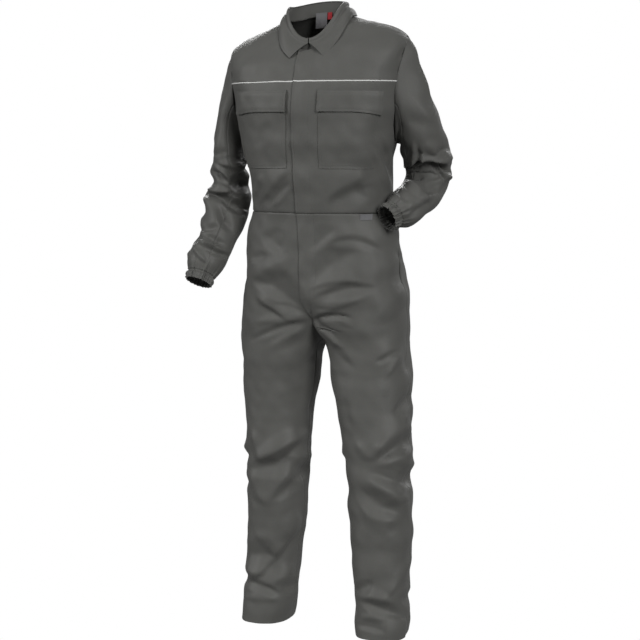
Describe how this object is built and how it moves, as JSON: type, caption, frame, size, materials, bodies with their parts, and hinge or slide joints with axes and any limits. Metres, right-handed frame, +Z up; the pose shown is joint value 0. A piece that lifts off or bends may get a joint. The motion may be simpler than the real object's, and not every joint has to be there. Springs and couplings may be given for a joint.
{
  "type": "boiler suit",
  "caption": "Long-sleeved one-piece work coverall, filled out but empty, with shirt collar, hidden front zip, flapped chest pockets, piped yoke, elastic cuffs and open neck, cuffs and hems.",
  "frame": {"origin": "on the middle line of the body at the height of the neck's base, where the wearer's shoulders carry the suit", "axes": "+Z up along the body, towards the collar; -Y is the front; +X is towards the wearer's left"},
  "size_m": [0.6406, 0.3095, 1.5915],
  "materials": {
    "twill": "dark grey work twill, matt with a faint sheen",
    "twill_inside": "inside face of the same twill, matt",
    "reflective_piping": "silvery white reflective tape, smooth",
    "woven_label": "plain grey woven label, matt",
    "red_tag": "plain red woven tag, matt"
  },
  "bodies": {
    "root": {"back": "twill", "back_leg_left": "twill", "back_leg_right": "twill", "chest_pocket_left": "twill", "chest_pocket_right": "twill", "collar_leaf": "twill", "collar_stand": "twill", "cuff_left": "twill", "cuff_right": "twill", "front_left": "twill", "front_leg_left": "twill", "front_leg_right": "twill", "front_right": "twill", "front_yoke_left": "twill", "front_yoke_right": "twill", "front_zip": "twill_inside", "hip_facing_left": "twill_inside", "hip_facing_right": "twill_inside", "neck_label": "woven_label", "neck_tag": "red_tag", "piping_left": "reflective_piping", "piping_right": "reflective_piping", "pocket_flap_left": "twill", "pocket_flap_right": "twill", "sleeve_top_left": "twill", "sleeve_top_right": "twill", "sleeve_under_left": "twill", "sleeve_under_right": "twill", "waist_label": "woven_label"}
  },
  "joints": []
}
